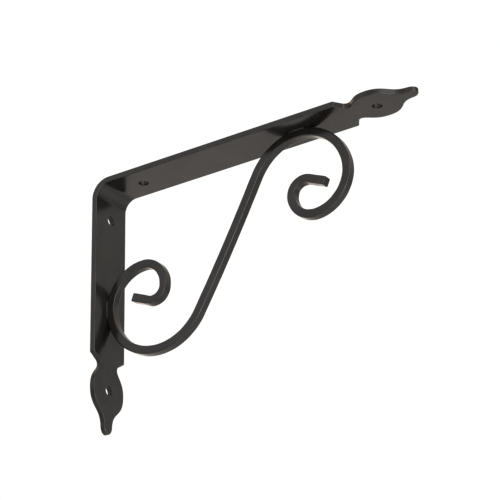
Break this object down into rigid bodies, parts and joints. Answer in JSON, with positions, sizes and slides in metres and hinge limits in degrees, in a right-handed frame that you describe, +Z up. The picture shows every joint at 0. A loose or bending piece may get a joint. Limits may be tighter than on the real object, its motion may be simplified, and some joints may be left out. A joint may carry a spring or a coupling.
{
  "type": "wrought iron bracket",
  "caption": "L-shaped wrought iron shelf bracket with leaf-shaped ends and an S-scroll brace, screwed to a wall by its short leg to carry a shelf on its long arm.",
  "frame": {"origin": "on the wall face of the short leg, on its centre line, midway between its two screw holes", "axes": "+X out from the wall along the arm, +Z up towards the shelf face, +Y across the width of the strap"},
  "size_m": [0.237, 0.0308, 0.1707],
  "materials": {
    "black_iron": "satin black coat over iron, with a faint orange-peel surface"
  },
  "bodies": {
    "root": {"strap": "black_iron", "scroll": "black_iron", "arm_weld_left": "black_iron", "arm_weld_right": "black_iron", "leg_weld_left": "black_iron", "leg_weld_right": "black_iron"}
  },
  "joints": []
}
